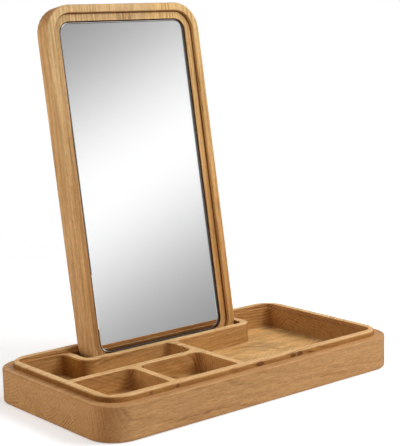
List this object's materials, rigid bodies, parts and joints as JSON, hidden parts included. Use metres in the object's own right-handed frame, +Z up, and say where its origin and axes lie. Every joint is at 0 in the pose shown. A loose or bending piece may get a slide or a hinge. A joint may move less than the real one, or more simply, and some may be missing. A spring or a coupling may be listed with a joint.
{
  "type": "desk mirror box",
  "caption": "Low oak organiser tray with milled compartments and a framed mirror that stands in a slot along its back, or lies face down on the tray as its lid.",
  "frame": {"origin": "centre of the tray's underside", "axes": "+X to the right along the tray, +Y to the back where the mirror stands, +Z up"},
  "size_m": [0.33, 0.2059, 0.3379],
  "materials": {
    "oak_tray": "oiled oak, sanded and milled, satin",
    "oak_board": "oiled oak, sanded, satin",
    "mirror": "silvered float glass with a ground edge",
    "tape": "foam mounting tape, matt"
  },
  "bodies": {
    "tray": {"tray_stave_1": "oak_tray", "tray_stave_2": "oak_tray", "tray_stave_3": "oak_tray", "tray_stave_4": "oak_tray"},
    "mirror": {"board_stave_1": "oak_board", "board_stave_2": "oak_board", "board_stave_3": "oak_board", "mirror_glass": "mirror", "tape_strip_1": "tape", "tape_strip_2": "tape", "tape_strip_3": "tape", "tape_strip_4": "tape"}
  },
  "joints": [
    {"name": "mirror_lift", "type": "slide", "parent": "tray", "child": "mirror", "axis": [0, 0.1616, 0.9869], "range_m": [0, 0.04]}
  ]
}
